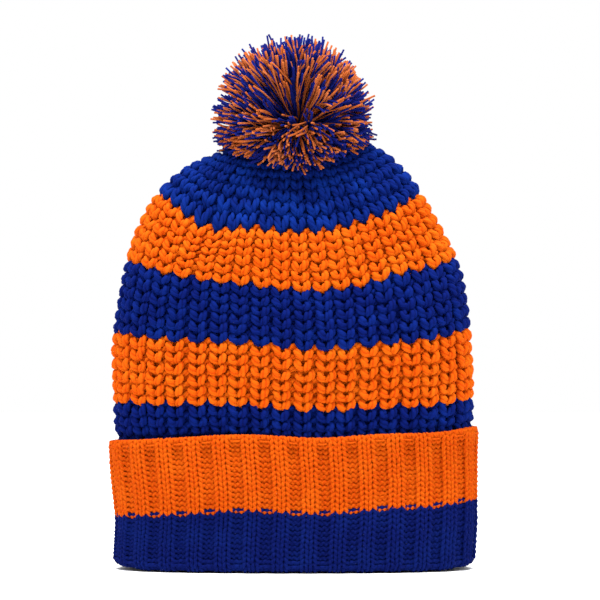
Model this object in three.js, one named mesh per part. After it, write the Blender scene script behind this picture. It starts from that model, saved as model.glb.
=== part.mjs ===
// Pom pom beanie: a chunky knitted hat with five colour stripes, a turned-up rib band and a yarn pom.
// Units are millimetres, +Z is up and -Y is the front. The origin is the middle of the rim, on the
// surface that the hat stands on. Each stripe, seam, tie and lock of pom yarn is its own closed solid.
import * as THREE from 'three';

// Driving dimensions
const GAP = 0.3; // clearance between touching pieces
const OVAL_POWER = 2.4; // cross-section power: 2 is an ellipse, more is squarer
const RING_STEPS = 40; // facets round the hat
const DRUM = 100; // radius of the plain drum that each band is turned on before it is draped

const BODY_THICK = 6; // chunky two-ply rib
const BAND_THICK = 3.2; // fine 2 x 2 rib
const CUFF_HALF_WIDTH = 112.5;
const CUFF_HALF_DEPTH = 46;
const CUFF_HEIGHT = 82;
const CUFF_LEAN = 4; // the turn-up is this much deeper at the right than in the middle
const LAYER_GAP = 1; // air between the outer and inner layers of the band
const FOLD_HEIGHT = 8; // rounded bottom fold of the rib band
const FOLD_ROUND = 2;
const CUFF_COLOUR_CHANGE = 33.6; // height where the blue of the band meets the orange
const EDGE_HEIGHT = 5; // rounded cast-on edge along the top of the turn-up
const BAND_TOP = 60.3; // height where the inner layer of the band is linked to the body
const SEAM_HEIGHT = 2; // linking seam between band and body
const SEAM_WIDTH = 9; // back seam allowance
const SEAM_THICK = 2.6;
const SEAM_CLEARANCE = 1; // air between a seam allowance and the wall that it lies on
const SEAM_END = 1.5; // levels below the end of the crown where the body's seam stops

const BLUE = 0x10309f;
const ORANGE = 0xf06a10;
const TIE_BLUE = 0x0a1f6e;

// Courses of the body from the band up to the gathered crown. Each row is one level of the knit:
// its height at the front, how much higher it rides at the sides, its half width and half depth.
const BODY_LEVELS = [
  { front: 60.7, rise: 0, wide: 108.2, deep: 41.7 },
  { front: 80, rise: 0.5, wide: 107.6, deep: 41.7 },
  { front: 97.7, rise: 3, wide: 108.5, deep: 44 },
  { front: 134, rise: 8.5, wide: 107.8, deep: 46.5 },
  { front: 169, rise: 17, wide: 99.2, deep: 45 },
  { front: 203, rise: 23, wide: 80, deep: 40 },
  { front: 227, rise: 17, wide: 64.5, deep: 33.5 },
  { front: 243, rise: 10.5, wide: 48, deep: 26 },
  { front: 253, rise: 4.5, wide: 29, deep: 17.5 },
  { front: 257.5, rise: 0.5, wide: 10.5, deep: 9.5 },
];
const LOWER_STRIPE_AT = 2; // level where the base blue meets the lower orange
const MIDDLE_STRIPE_AT = 3;
const UPPER_STRIPE_AT = 4;
const CROWN_STRIPE_AT = 5;
const CROWN_END = BODY_LEVELS.length - 1;

// Pom pom and its tie
const POM_Z = 277; // middle of the pom
const POM_RADIUS = 50;
const POM_CORE_RADIUS = 7;
const BINDING_RADIUS = 8.3;
const BINDING_YARN = 0.9;
const LOCK_ROOT = 11; // distance from the middle of the pom to the root of a lock
const LOCK_HALF_ANGLE = THREE.MathUtils.degToRad(17);
const LOCK_STEPS = 12;
const TIE_RADIUS = 2.2;
const TIE_TOP = 268.6;
const TIE_BOTTOM = 249.5;
const KNOT_Z = 243;
const KNOT_RADIUS = 5;
const GATHER_RADIUS = 6;
const GATHER_YARN = 1.1;
const GATHER_Z = 253.6;

const beanie = new THREE.Group();
beanie.name = 'pom_pom_beanie';

function yarnMaterial(colour) {
  return new THREE.MeshStandardMaterial({ color: colour, roughness: 0.9, metalness: 0 });
}

function addPiece(name, geometry, colour, parent = beanie) {
  const piece = new THREE.Mesh(geometry, yarnMaterial(colour));
  piece.name = name;
  parent.add(piece);
  return piece;
}

// A smooth curve through one column of the level table, read at any fractional level.
const shapeCurve = new THREE.CatmullRomCurve3(
  BODY_LEVELS.map((level) => new THREE.Vector3(level.wide, level.deep, level.front)),
  false,
  'catmullrom',
  0.5,
);
const riseCurve = new THREE.CatmullRomCurve3(
  BODY_LEVELS.map((level) => new THREE.Vector3(level.rise, 0, 0)),
  false,
  'catmullrom',
  0.5,
);

function ovalPoint(angle, halfWidth, halfDepth) {
  const power = 2 / OVAL_POWER;
  const across = Math.sign(Math.cos(angle)) * Math.abs(Math.cos(angle)) ** power;
  const along = Math.sign(Math.sin(angle)) * Math.abs(Math.sin(angle)) ** power;
  return { x: halfWidth * across, y: halfDepth * along, across };
}

// Outer face of the body at an angle and a level.
function bodySurface(angle, level) {
  const share = THREE.MathUtils.clamp(level / CROWN_END, 0, 1);
  const shape = shapeCurve.getPoint(share);
  const rise = riseCurve.getPoint(share).x;
  const oval = ovalPoint(angle, shape.x, shape.y);
  return new THREE.Vector3(oval.x, oval.y, shape.z + rise * Math.abs(oval.across) ** 3);
}

// Outer face of the turned-up band at an angle and a height.
function cuffSurface(angle, height) {
  const oval = ovalPoint(angle, CUFF_HALF_WIDTH, CUFF_HALF_DEPTH);
  const share = THREE.MathUtils.smoothstep(height, FOLD_HEIGHT, CUFF_COLOUR_CHANGE);
  const lean = CUFF_LEAN * share * (oval.x / CUFF_HALF_WIDTH);
  return new THREE.Vector3(oval.x, oval.y, height + lean);
}

function outwardNormal(surface, angle, level) {
  const turn = 0.01;
  const climb = 0.01;
  const side = surface(angle + turn, level).sub(surface(angle - turn, level));
  const up = surface(angle, level + climb).sub(surface(angle, level - climb));
  return side.cross(up).normalize();
}

// Bends a geometry that was made on the plain drum onto a surface of the hat: the distance out
// from the drum becomes the distance out from that surface, and the height becomes the level.
function drape(geometry, surface) {
  const position = geometry.attributes.position;
  const point = new THREE.Vector3();
  for (let i = 0; i < position.count; i += 1) {
    point.fromBufferAttribute(position, i);
    const angle = Math.atan2(point.y, point.x);
    const offset = Math.hypot(point.x, point.y) - DRUM;
    const place = surface(angle, point.z);
    place.addScaledVector(outwardNormal(surface, angle, point.z), offset);
    position.setXYZ(i, place.x, place.y, place.z);
  }
  geometry.computeVertexNormals();
  return geometry;
}

// A closed ring on the drum between two levels and two offsets from the outer face.
function drumRing(low, high, outer, inner, steps) {
  const profile = [];
  for (let i = 0; i <= steps; i += 1) {
    profile.push(new THREE.Vector2(DRUM + outer, low + ((high - low) * i) / steps));
  }
  for (let i = steps; i >= 0; i -= 1) {
    profile.push(new THREE.Vector2(DRUM + inner, low + ((high - low) * i) / steps));
  }
  profile.push(profile[0].clone());
  return new THREE.LatheGeometry(profile, RING_STEPS).rotateX(Math.PI / 2);
}

// Height of one level step, so that a gap in millimetres can be given in levels.
function levelGap(level) {
  const below = bodySurface(-Math.PI / 2, level - 0.05);
  const above = bodySurface(-Math.PI / 2, level + 0.05);
  return (GAP / 2 / above.distanceTo(below)) * 0.1;
}

function bodyStripe(name, low, high, colour) {
  const steps = 2 * (high - low);
  const bottom = low === 0 ? low : low + levelGap(low);
  const top = high === CROWN_END ? high : high - levelGap(high);
  addPiece(name, drape(drumRing(bottom, top, 0, -BODY_THICK, steps), bodySurface), colour);
}

function makeBody() {
  bodyStripe('base_stripe_blue', 0, LOWER_STRIPE_AT, BLUE);
  bodyStripe('lower_stripe_orange', LOWER_STRIPE_AT, MIDDLE_STRIPE_AT, ORANGE);
  bodyStripe('middle_stripe_blue', MIDDLE_STRIPE_AT, UPPER_STRIPE_AT, BLUE);
  bodyStripe('upper_stripe_orange', UPPER_STRIPE_AT, CROWN_STRIPE_AT, ORANGE);
  bodyStripe('crown_stripe_blue', CROWN_STRIPE_AT, CROWN_END, BLUE);
}

function cuffRing(name, low, high, outer, inner, colour) {
  addPiece(name, drape(drumRing(low, high, outer, inner, 2), cuffSurface), colour);
}

// The bottom fold joins the outer and inner layers of the band, flat where the hat stands.
function makeFold() {
  const inner = -2 * BAND_THICK - LAYER_GAP;
  const round = FOLD_ROUND;
  const profile = [
    new THREE.Vector2(DRUM, FOLD_HEIGHT - GAP),
    new THREE.Vector2(DRUM + inner, FOLD_HEIGHT - GAP),
    new THREE.Vector2(DRUM + inner, round),
    new THREE.Vector2(DRUM + inner + round, 0),
    new THREE.Vector2(DRUM - round, 0),
    new THREE.Vector2(DRUM, round),
  ];
  profile.push(profile[0].clone());
  const ring = new THREE.LatheGeometry(profile, RING_STEPS).rotateX(Math.PI / 2);
  addPiece('cuff_fold_blue', drape(ring, cuffSurface), BLUE);
}

// The free cast-on edge of the turn-up, rounded over at its top.
function makeCastOnEdge() {
  const low = CUFF_HEIGHT - EDGE_HEIGHT;
  const round = BAND_THICK / 3;
  const profile = [
    new THREE.Vector2(DRUM, low),
    new THREE.Vector2(DRUM, CUFF_HEIGHT - round),
    new THREE.Vector2(DRUM - round, CUFF_HEIGHT),
    new THREE.Vector2(DRUM - BAND_THICK + round, CUFF_HEIGHT),
    new THREE.Vector2(DRUM - BAND_THICK, CUFF_HEIGHT - round),
    new THREE.Vector2(DRUM - BAND_THICK, low),
    new THREE.Vector2(DRUM, low),
  ];
  const ring = new THREE.LatheGeometry(profile, RING_STEPS).rotateX(Math.PI / 2);
  addPiece('cuff_cast_on_edge', drape(ring, cuffSurface), ORANGE);
}

function makeCuff() {
  const edgeStart = CUFF_HEIGHT - EDGE_HEIGHT - GAP;
  const innerFace = -BAND_THICK - LAYER_GAP;
  makeFold();
  cuffRing('cuff_band_blue', FOLD_HEIGHT, CUFF_COLOUR_CHANGE - GAP, 0, -BAND_THICK, BLUE);
  cuffRing('cuff_band_orange', CUFF_COLOUR_CHANGE, edgeStart, 0, -BAND_THICK, ORANGE);
  makeCastOnEdge();
  const innerTop = BAND_TOP - SEAM_HEIGHT;
  addPiece('inner_band_blue', drape(innerRing(FOLD_HEIGHT, innerTop, innerFace, 2), plainTube), BLUE);
  const seamLow = innerTop + GAP;
  addPiece('band_linking_seam', drape(innerRing(seamLow, BAND_TOP, innerFace, 1), plainTube), TIE_BLUE);
}

// The inner layer of the band stands straight up, with no lean.
function plainTube(angle, height) {
  const oval = ovalPoint(angle, CUFF_HALF_WIDTH, CUFF_HALF_DEPTH);
  return new THREE.Vector3(oval.x, oval.y, height);
}

function innerRing(low, high, outer, steps) {
  return drumRing(low, high, outer, outer - BAND_THICK, steps);
}

// A flat strip on the drum at the back of the hat, for a seam allowance on the inside.
function seamStrip(low, high, outer, steps, surface) {
  const strip = new THREE.BoxGeometry(SEAM_WIDTH, SEAM_THICK, high - low, 1, 1, steps);
  strip.translate(0, DRUM + outer - SEAM_THICK / 2, (low + high) / 2);
  return narrowToMiddle(drape(strip, surface));
}

// Draping stretches the strip sideways, so its width is set again to the seam allowance.
function narrowToMiddle(strip) {
  const position = strip.attributes.position;
  for (let i = 0; i < position.count; i += 1) {
    position.setX(i, (Math.sign(position.getX(i)) * SEAM_WIDTH) / 2);
  }
  strip.computeVertexNormals();
  return strip;
}

function makeBackSeams() {
  const bodyOffset = -BODY_THICK - SEAM_CLEARANCE;
  const bandOffset = -2 * BAND_THICK - LAYER_GAP - SEAM_CLEARANCE;
  const bandHigh = BAND_TOP - SEAM_HEIGHT;
  addPiece('back_seam_body', seamStrip(0.1, CROWN_END - SEAM_END, bodyOffset, 14, bodySurface), TIE_BLUE);
  addPiece('back_seam_band', seamStrip(FOLD_ROUND, bandHigh, bandOffset, 3, plainTube), TIE_BLUE);
}

// Drawn-up yarn that closes the last course of the crown.
function makeGather() {
  const ring = new THREE.TorusGeometry(GATHER_RADIUS, GATHER_YARN, 8, 24);
  addPiece('crown_gather_yarn', ring, TIE_BLUE).position.z = GATHER_Z;
}

function roundedPin(bottom, top, radius) {
  const cap = radius * 0.4;
  const profile = [
    new THREE.Vector2(0, bottom),
    new THREE.Vector2(radius - cap, bottom),
    new THREE.Vector2(radius, bottom + cap),
    new THREE.Vector2(radius, top - cap),
    new THREE.Vector2(radius - cap, top),
    new THREE.Vector2(0, top),
  ];
  return new THREE.LatheGeometry(profile, 12).rotateX(Math.PI / 2);
}

function makeTie() {
  addPiece('pom_tie_neck', roundedPin(TIE_BOTTOM, TIE_TOP, TIE_RADIUS), TIE_BLUE);
  const knot = addPiece('pom_tie_knot', new THREE.SphereGeometry(KNOT_RADIUS, 16, 10), TIE_BLUE);
  knot.position.z = KNOT_Z;
  knot.scale.z = 0.9;
}

// One lock of pom yarn: narrow at its root, spreading to a rounded end.
function lockGeometry() {
  const spread = Math.tan(LOCK_HALF_ANGLE);
  const shoulder = POM_RADIUS * 0.87;
  const profile = [
    new THREE.Vector2(0, LOCK_ROOT),
    new THREE.Vector2(LOCK_ROOT * spread, LOCK_ROOT),
    new THREE.Vector2(shoulder * spread, shoulder),
    new THREE.Vector2(shoulder * spread * 0.72, POM_RADIUS * 0.965),
    new THREE.Vector2(0, POM_RADIUS),
  ];
  return new THREE.LatheGeometry(profile, LOCK_STEPS);
}

function addLock(pom, name, azimuth, elevation, colour) {
  const flat = Math.cos(elevation);
  const toward = new THREE.Vector3(flat * Math.cos(azimuth), flat * Math.sin(azimuth), Math.sin(elevation));
  const lock = addPiece(name, lockGeometry(), colour, pom);
  lock.quaternion.setFromUnitVectors(new THREE.Vector3(0, 1, 0), toward);
}

function makePom() {
  const pom = new THREE.Group();
  pom.position.z = POM_Z;
  beanie.add(pom);
  addPiece('pom_core', new THREE.SphereGeometry(POM_CORE_RADIUS, 16, 10), TIE_BLUE, pom);
  addPiece('pom_binding', new THREE.TorusGeometry(BINDING_RADIUS, BINDING_YARN, 8, 24), TIE_BLUE, pom);
  const rings = [
    { name: 'low', count: 10, elevation: 10 },
    { name: 'high', count: 6, elevation: 47 },
    { name: 'top', count: 1, elevation: 90 },
  ];
  for (const ring of rings) {
    for (let i = 0; i < ring.count; i += 1) {
      const azimuth = ((i + 0.5) / ring.count) * 2 * Math.PI;
      const shade = i % 2 === 0 ? 'orange' : 'blue';
      const elevation = THREE.MathUtils.degToRad(ring.elevation);
      const name = `pom_lock_${ring.name}_${i + 1}_${shade}`;
      addLock(pom, name, azimuth, elevation, shade === 'orange' ? ORANGE : BLUE);
    }
  }
}

makeCuff();
makeBody();
makeBackSeams();
makeGather();
makeTie();
makePom();

export default beanie;
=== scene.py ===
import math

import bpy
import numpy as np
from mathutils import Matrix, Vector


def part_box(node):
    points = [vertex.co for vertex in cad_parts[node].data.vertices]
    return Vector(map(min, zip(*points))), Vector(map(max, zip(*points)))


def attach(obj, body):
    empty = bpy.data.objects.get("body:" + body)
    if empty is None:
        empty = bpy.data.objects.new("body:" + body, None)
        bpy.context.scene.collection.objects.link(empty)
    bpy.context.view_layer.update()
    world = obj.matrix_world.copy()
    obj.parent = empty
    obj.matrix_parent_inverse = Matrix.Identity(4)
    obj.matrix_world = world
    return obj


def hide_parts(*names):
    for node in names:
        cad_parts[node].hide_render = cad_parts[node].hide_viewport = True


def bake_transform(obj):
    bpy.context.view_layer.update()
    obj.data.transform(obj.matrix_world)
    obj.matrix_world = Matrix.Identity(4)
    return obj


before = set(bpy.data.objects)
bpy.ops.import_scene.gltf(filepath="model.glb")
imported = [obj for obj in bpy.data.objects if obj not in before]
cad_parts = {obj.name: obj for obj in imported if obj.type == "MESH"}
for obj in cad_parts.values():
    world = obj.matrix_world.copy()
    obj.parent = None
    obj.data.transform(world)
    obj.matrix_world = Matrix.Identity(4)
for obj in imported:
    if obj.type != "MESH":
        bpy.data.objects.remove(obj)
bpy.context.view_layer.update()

# Pom pom beanie in chunky rib knit. Every course of yarn, every seam and every strand of the pom is real
# geometry. The hat stands on its rim at Z = 0, its front faces -Y and its back seam is at +Y. Lengths named
# with _MM are millimetres, and everything handed to Blender is in metres.

MM = 0.001
rng = np.random.default_rng(41)

# ---------------------------------------------------------------- the shape of the hat, from the frame
OVAL_POWER = 2.4
CUFF_LEAN_MM = 4.0  # the band's stripe runs down to the left
CUFF_SUNK_MM = 2.2  # its top edge has sunk at the right
FOLD_HEIGHT_MM = 8.0  # nothing of the fold leans
CUFF_COLOUR_CHANGE_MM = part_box("cuff_band_orange")[0].z / MM + CUFF_LEAN_MM
CUFF_HALF_WIDTH_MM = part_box("cuff_band_blue")[1].x / MM
CUFF_HALF_DEPTH_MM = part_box("cuff_band_blue")[1].y / MM
CUFF_HEIGHT_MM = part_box("cuff_cast_on_edge")[1].z / MM - CUFF_LEAN_MM
BAND_TOP_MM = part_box("band_linking_seam")[1].z / MM

# Levels of the body from the band to the gathered crown, as in the frame: height at the front,
# how much higher the level rides at the sides, half width and half depth, all in millimetres.
BODY_LEVELS_MM = np.array([
    (60.7, 0, 108.2, 41.7),
    (80, 0.5, 107.6, 41.7),
    (97.7, 3, 108.5, 44),
    (134, 8.5, 107.8, 46.5),
    (169, 17, 99.2, 45),
    (203, 23, 80, 40),
    (227, 17, 64.5, 33.5),
    (243, 10.5, 48, 26),
    (253, 4.5, 29, 17.5),
    (257.5, 0.5, 10.5, 9.5),
])
SIDE_RISE_POWER = 2.4
SURFACE_ROWS_PER_COURSE = 4
OVAL_STEPS = 2880
# Stripe name, first level, last level, courses, frame node and its yarn
STRIPES = [
    ("base_stripe", 0, 2, 6, "base_stripe_blue", "body_blue"),
    ("lower_stripe", 2, 3, 6, "lower_stripe_orange", "body_orange"),
    ("middle_stripe", 3, 4, 6, "middle_stripe_blue", "body_blue"),
    ("upper_stripe", 4, 5, 6, "upper_stripe_orange", "body_orange"),
    # the crown stripe is knitted in the brighter copy of the body's blue, which is painted light from above
    ("crown_stripe", 5, 9, 11, "crown_stripe_blue", "crown_blue_painted_light"),
]

# ---------------------------------------------------------------- the knit
BODY_COLUMNS = 40
BODY_YARN_MM = 2.05  # radius
BODY_TWIST_MM = 13.0  # its three plies go once round in this
BODY_SIDES = 12  # four to each ply
COLUMN_WIDTH_MM = 12.5  # a relaxed column of chunky rib
PLY_PROFILE = (0.76, 0.99, 1.08, 0.99)  # the groove beside a ply, and its round face, as shares of the radius
RIB_REPEATS = 30
RIB_WALES = 4  # two knit, two purl
RIB_YARN_MM = 1.25  # radius
RIB_SIDES = 6
RIB_ROW_MM = 3.06
RIB_RELIEF_MM = 2.9  # how far the purl wales lie behind the knit wales
RIB_KNIT_SHARE = 0.6  # share of each repeat that the two knit wales take
RIB_SLOPE = 0.32  # share of half a repeat in which the face goes from knit to purl
INNER_RELIEF = 0.1  # the hidden layer of the band is pressed flatter
LAYER_MM = 3.0  # half the distance between the band's two layers, and so the radius of its fold

# One chunky stitch, as (across in columns, up in courses, depth in mm). The yarn comes from behind,
# rises as one arm of a V, turns back over the top as the head, and goes down the other side.
FRONT_ARM = [
    (-0.20, 0.10, -5.8),
    (-0.075, 0.23, -3.6),
    (-0.15, 0.38, -2.2),
    (-0.235, 0.58, -1.6),
    (-0.28, 0.82, -2.1),
    (-0.24, 1.08, -4.2),
]
FRONT_HEAD = (0.0, 1.18, -5.6)
# The purl loop of the recess beside it is the same stitch seen from behind.
BACK_ARM = [
    (-0.14, 0.20, -6.0),
    (-0.26, 0.70, -6.4),
    (-0.20, 1.10, -5.4),
]
BACK_HEAD = (0.0, 1.26, -4.0)
BACK_LEAN = 0.7  # the purl loop leans to one side
# The yarn is squeezed where loops cross and swells between, as a share of its radius at each point above.
FRONT_SWELL = (0.80, 0.92, 1.06, 1.14, 1.08, 0.86, 0.8)
BACK_SWELL = (0.85, 0.85, 0.9, 0.95)
PRESSED_IN_MM = 2.3  # the turned-up band presses the body's first courses in
PRESSED_COURSES = 3.9
PRESSED_FADE_COURSES = 1.2
# No two loops are alike. Spreads of a loop's width and place in columns, its height and lean in courses
LOOP_WIDTH_SPREAD = 0.06
LOOP_PLACE_SPREAD = 0.02
LOOP_HEIGHT_SPREAD = 0.05
LOOP_LEAN_SPREAD = 0.22
COLUMN_DRIFT = 0.035  # spread of the place of a whole column
YARN_WANDER_MM = 0.18
RIB_WANDER_MM = 0.05
RIB_PLACE_SPREAD = 0.0002  # of a fine loop, as a share of the way round


# ---------------------------------------------------------------- surfaces
def smooth(before, start, end, after, t):
    """A share t of the way from start to end, on a curve that also passes through their neighbours."""
    return 0.5 * (
        2 * start
        + (end - before) * t
        + (2 * before - 5 * start + 4 * end - after) * t**2
        + (3 * start - before - 3 * end + after) * t**3
    )


def smooth_levels(table, at):
    """Reads a table of levels at fractional levels, on a smooth curve through all of them."""
    ends = np.vstack([2 * table[0] - table[1], table, 2 * table[-1] - table[-2]])
    at = np.clip(at, 0, len(table) - 1)
    i = np.minimum(at.astype(int), len(table) - 2)
    return smooth(ends[i], ends[i + 1], ends[i + 2], ends[i + 3], (at - i)[..., None])


def oval(angle, half_width, half_depth):
    """Point on the squared oval of the hat's section, and how far it is towards a side, from -1 to 1."""
    power = 2 / OVAL_POWER
    across = np.sign(np.cos(angle)) * np.abs(np.cos(angle)) ** power
    along = np.sign(np.sin(angle)) * np.abs(np.sin(angle)) ** power
    return half_width * across, half_depth * along, across


def even_angles(half_width, half_depth, steps):
    """Angles that part the oval into equal lengths, from the back over the left side to the front."""
    fine = np.linspace(math.pi / 2, math.pi * 2.5, OVAL_STEPS + 1)
    x, y, _ = oval(fine, half_width, half_depth)
    length = np.concatenate([[0], np.cumsum(np.hypot(np.diff(x), np.diff(y)))])
    return np.interp(np.arange(steps) / steps * length[-1], length, fine)


class Surface:
    """A face of the hat, read at a share round it and at a place up it, with a distance outwards."""

    STEPS = 960

    def __init__(self, rows, places):
        self.places = np.asarray(places, float)
        self.point = np.array(rows)
        round_it = np.roll(self.point, -1, 1) - np.roll(self.point, 1, 1)
        up_it = np.gradient(self.point, axis=0)
        normal = np.cross(round_it, up_it)
        self.normal = normal / np.linalg.norm(normal, axis=2, keepdims=True)

    def at(self, share, place, out=0.0):
        share = np.mod(share, 1.0) * self.STEPS
        row = np.interp(place, self.places, np.arange(len(self.places)))
        j = np.floor(share).astype(int) % self.STEPS
        i = np.clip(np.floor(row).astype(int), 0, len(self.places) - 2)
        fj = (share - np.floor(share))[..., None]
        fi = (row - i)[..., None]
        k = (j + 1) % self.STEPS

        def read(grid):
            low = grid[i, j] * (1 - fj) + grid[i, k] * fj
            high = grid[i + 1, j] * (1 - fj) + grid[i + 1, k] * fj
            return low * (1 - fi) + high * fi

        return read(self.point) + read(self.normal) * np.asarray(out)[..., None]

    def width(self, place):
        """Distance round the surface at a place up it."""
        loop = self.at(np.arange(self.STEPS) / self.STEPS, np.full(self.STEPS, float(place)))
        return np.linalg.norm(np.roll(loop, -1, 0) - loop, axis=1).sum()


def body_surface():
    """Outer face of the chunky body. Places up it are courses."""
    levels = [0.0]
    for _, low, high, courses, _, _ in STRIPES:
        levels += list(low + (high - low) * (np.arange(courses) + 1) / courses)
    courses = len(levels) - 1
    places = np.linspace(0, courses, SURFACE_ROWS_PER_COURSE * courses + 1)
    rows = []
    for level in np.interp(places, np.arange(courses + 1), levels):
        front, rise, wide, deep = smooth_levels(BODY_LEVELS_MM, np.array(level))
        angle = even_angles(wide, deep, Surface.STEPS)
        x, y, across = oval(angle, wide, deep)
        rows.append(np.stack([x, y, front + rise * np.abs(across) ** SIDE_RISE_POWER], axis=1))
    return Surface(rows, places)


# The band's line in section, in layers behind its outer face
OUTER_LAYER = 0.62
FOLD_MIDDLE = OUTER_LAYER + 1
INNER_LAYER = OUTER_LAYER + 2
EDGE_HEIGHT_MM = CUFF_HEIGHT_MM - 0.6
FOLD_MIDDLE_MM = LAYER_MM + 1.9  # height of the fold's middle
FOLD_END_MM = LAYER_MM + 2.3
# The cast-on edge rolls in over the top: (layers behind the face, mm from its top)
EDGE_ROLL = [(1.5, -4.0), (1.35, -1.0), (1.0, 0.2)]
OUTSIDE_STEPS = 40
INSIDE_STEPS = 24
OUTSIDE_LAYERS = 1.7  # what lies nearer the face than this belongs to the outside of the band
BAND_STEP_MM = 0.75


def band_profile():
    """Middle line of the turned-up band, from its cast-on edge down the outside, round the fold and up the
    inside, as (offset from the outer face, height) in mm, and the distance along it."""
    edge = [(-LAYER_MM * behind, EDGE_HEIGHT_MM + up) for behind, up in EDGE_ROLL]
    down = np.linspace(EDGE_HEIGHT_MM - 1.2, FOLD_END_MM, OUTSIDE_STEPS)
    outside = [(-LAYER_MM * OUTER_LAYER, z) for z in down]
    fold = [
        (LAYER_MM * (math.cos(turn) - FOLD_MIDDLE), FOLD_MIDDLE_MM - LAYER_MM * math.sin(turn))
        for turn in np.linspace(0, math.pi, 9)[1:-1]
    ]
    inside = [(-LAYER_MM * INNER_LAYER, z) for z in np.linspace(FOLD_END_MM, BAND_TOP_MM, INSIDE_STEPS)]
    line = np.array(edge + outside + fold + inside)
    along = np.concatenate([[0], np.cumsum(np.linalg.norm(np.diff(line, axis=0), axis=1))])
    return line, along


def colour_change_place():
    """Distance along the band where its orange ends, in mm."""
    line, along = band_profile()
    outside = slice(len(EDGE_ROLL), len(EDGE_ROLL) + OUTSIDE_STEPS)
    nearest = np.argmin(np.abs(line[outside, 1] - CUFF_COLOUR_CHANGE_MM))
    return along[outside][nearest] - RIB_ROW_MM


def fold_place():
    """Distance along the band where it turns under the hat's rim, in mm."""
    line, along = band_profile()
    return along[np.argmin(line[:, 1])]


def eased(share):
    """A share from 0 to 1 that starts and ends gently."""
    share = np.clip(share, 0, 1)
    return share * share * (3 - 2 * share)


def band_surface():
    """Middle face of the band. Places along it are millimetres from the cast-on edge."""
    line, along = band_profile()
    places = np.arange(0, along[-1], BAND_STEP_MM)
    offsets = np.interp(places, along, line[:, 0])
    heights = np.interp(places, along, line[:, 1])
    angle = even_angles(CUFF_HALF_WIDTH_MM, CUFF_HALF_DEPTH_MM, Surface.STEPS)
    rows = []
    for offset, height in zip(offsets, heights):
        x, y, across = oval(angle, CUFF_HALF_WIDTH_MM + offset, CUFF_HALF_DEPTH_MM + offset)
        if offset > -LAYER_MM * OUTSIDE_LAYERS:
            below = (height - FOLD_HEIGHT_MM) / (CUFF_COLOUR_CHANGE_MM - FOLD_HEIGHT_MM)
            above = (height - CUFF_COLOUR_CHANGE_MM) / (CUFF_HEIGHT_MM - CUFF_COLOUR_CHANGE_MM)
            height = height + CUFF_LEAN_MM * eased(below) * across
            height = height - CUFF_SUNK_MM * np.clip(above, 0, 1) * np.maximum(across, 0)
        rows.append(np.stack([x, y, np.broadcast_to(height, x.shape)], axis=1))
    surface = Surface(rows, places)
    surface.normal = -surface.normal
    return surface


# Waves that cloth has and a drawn oval hasn't: (size in mm, radians per mm along X, Y and Z, start)
AWAY_WAVES = [(1.1, 1 / 61, 0, 1 / 23, 0.4), (0.7, -1 / 37, 0, 1 / 11, 1.9)]
SIDEWAYS_WAVES = [(1.0, 0, 0, 1 / 31, 0.8), (0.5, 0, 1 / 20, 1 / 13, 0)]
UPWARD_WAVES = [(-1.4, 1 / 29, 0, 0, 0.5), (0.7, 1 / 13, 1 / 17, 0, 0)]
WAVES_START_MM = 30.0  # nothing waves at the rim, and all of it waves from here up
CALM_MM = (255.0, 60.0, 0.1)  # the waves fade over this height up to here, where this share is left
# Places that have moved: (rise, across, its reach, height, its reach) in mm
MOVED_PLACES_MM = [
    (-10.0, -50.0, 20.0, 212.0, 21.0),  # a soft dent in the crown's left front
    (2.8, 67.0, 14.0, 177.0, 15.0),  # the upper orange stripe rides up at the right
]
# The crown's shoulders beside the pom: one stands up, one has sunk. (rise, across, its reach) in mm
SHOULDERS_MM = [(2.6, 49.0, 14.0), (-2.6, -50.0, 22.0)]
SHOULDERS_START_MM = 225.0
SHOULDERS_FADE_MM = 15.0
SLUMP_MM = 4.0  # how far the crown has slumped to one side
SLUMP_HEIGHT_MM = 210.0
SLUMP_REACH_MM = 36.0
SLUMP_SPREAD = 0.014
RIM_LIFT_MM = 3.0  # the rim lifts off the ground where the flat hat turns, at its two sides
RIM_LIFT_FROM_MM = (82.0, 30.0)  # it starts this far across and is full after this much more
RIM_LIFT_HEIGHT_MM = 26.0
RIM_DRAWN_IN = 0.022  # the rib draws the rim in, all of it up to the first height and none above the last
DRAWN_IN_HEIGHTS_MM = (34.0, 60.0, 90.0)
DRAWN_IN_SHARES = (1.0, 0.4, 0.0)


def hump(at, middle, reach):
    """A smooth hump of height 1, which has died away at about twice its reach from its middle."""
    return np.exp(-(((at - middle) / reach) ** 2))


def waves(points, table):
    """Sum of a table of waves at each point."""
    return sum(size * np.sin(points @ np.array(steps) + start) for size, *steps, start in table)


def hand_softened(points):
    """The cloth as it lies: waves of a millimetre or so, a dent, a slump and uneven shoulders."""
    x, y, z = points[..., 0], points[..., 1], points[..., 2]
    free = np.clip(z / WAVES_START_MM, 0, 1)
    upward = waves(points, UPWARD_WAVES)
    for rise, across, wide, height, tall in MOVED_PLACES_MM:
        upward = upward + rise * hump(x, across, wide) * hump(z, height, tall)
    calm_from, calm_over, calm_share = CALM_MM
    upward = upward * free * np.clip((calm_from - z) / calm_over, calm_share, 1)
    shoulders = sum(rise * hump(x, across, reach) for rise, across, reach in SHOULDERS_MM)
    shoulders = shoulders * np.clip((z - SHOULDERS_START_MM) / SHOULDERS_FADE_MM, 0, 1)
    lift_from, lift_over = RIM_LIFT_FROM_MM
    corner = np.clip((np.abs(x) - lift_from) / lift_over, 0, 1) ** 2
    corner = RIM_LIFT_MM * corner * np.clip(1 - z / RIM_LIFT_HEIGHT_MM, 0, 1)
    slump = hump(z, SLUMP_HEIGHT_MM, SLUMP_REACH_MM)
    drawn_in = RIM_DRAWN_IN * np.interp(z, DRAWN_IN_HEIGHTS_MM, DRAWN_IN_SHARES)
    moved = points.copy()
    moved[..., 0] *= 1 + SLUMP_SPREAD * slump - drawn_in
    moved[..., 0] += waves(points, SIDEWAYS_WAVES) * free - SLUMP_MM * slump
    moved[..., 1] += waves(points, AWAY_WAVES) * free * np.sign(y)
    moved[..., 2] += upward + shoulders + corner
    return moved


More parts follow.
